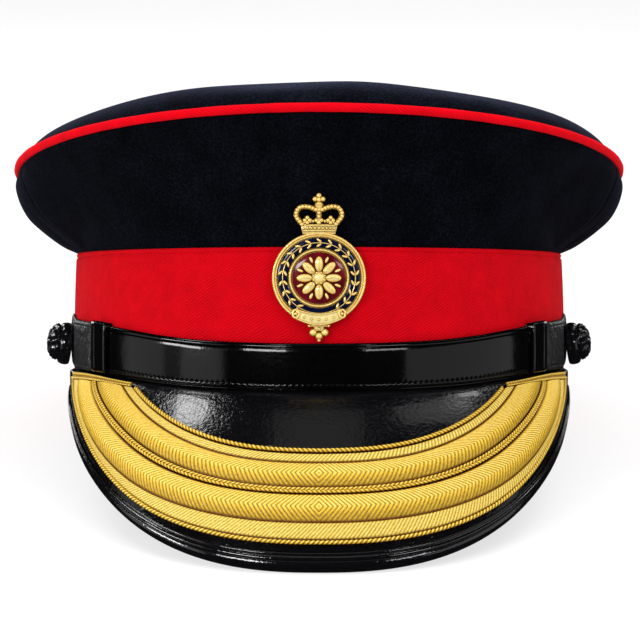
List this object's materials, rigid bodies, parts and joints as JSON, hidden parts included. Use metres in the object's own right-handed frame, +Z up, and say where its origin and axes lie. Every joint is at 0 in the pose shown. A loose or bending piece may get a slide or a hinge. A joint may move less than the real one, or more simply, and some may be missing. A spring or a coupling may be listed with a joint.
{
  "type": "forage cap",
  "caption": "Peaked forage cap with a domed navy crown, scarlet piping and band, gold-laced black peak, patent chin strap, side buttons and gilt badge.",
  "frame": {"origin": "centre of the footprint on the floor, under the middle of the cap's bounding box", "axes": "+X to the right as seen in the picture, -Y towards the tip of the peak, +Z up from the floor; the cap is tipped back and rests on the peak's edge and the back of the band"},
  "size_m": [0.212, 0.2852, 0.1395],
  "materials": {
    "navy_cloth": "matt felted wool",
    "scarlet_cloth": "matt fine twill",
    "patent_leather": "high gloss patent",
    "gold_lace": "woven metallic thread, soft sheen",
    "gilt": "bright gilt",
    "blue_enamel": "glossy enamel",
    "red_enamel": "glossy enamel",
    "black_button": "glossy black"
  },
  "bodies": {
    "root": {"crown_top": "navy_cloth", "crown_front": "navy_cloth", "crown_right": "navy_cloth", "crown_back": "navy_cloth", "crown_left": "navy_cloth", "piping": "scarlet_cloth", "band": "scarlet_cloth", "peak": "patent_leather", "peak_binding": "patent_leather", "lace_cord_upper": "gold_lace", "lace_strip_upper": "gold_lace", "lace_bar_upper": "gold_lace", "lace_cord_middle": "gold_lace", "lace_bar_lower": "gold_lace", "lace_strip_lower": "gold_lace", "lace_cord_lower": "gold_lace", "lace_end_left": "gold_lace", "lace_end_right": "gold_lace", "strap": "patent_leather", "keeper_left": "patent_leather", "keeper_right": "patent_leather", "button_left": "black_button", "button_right": "black_button", "badge_frame": "gilt", "badge_ring": "blue_enamel", "badge_centre": "red_enamel", "badge_rosette": "gilt"}
  },
  "joints": []
}
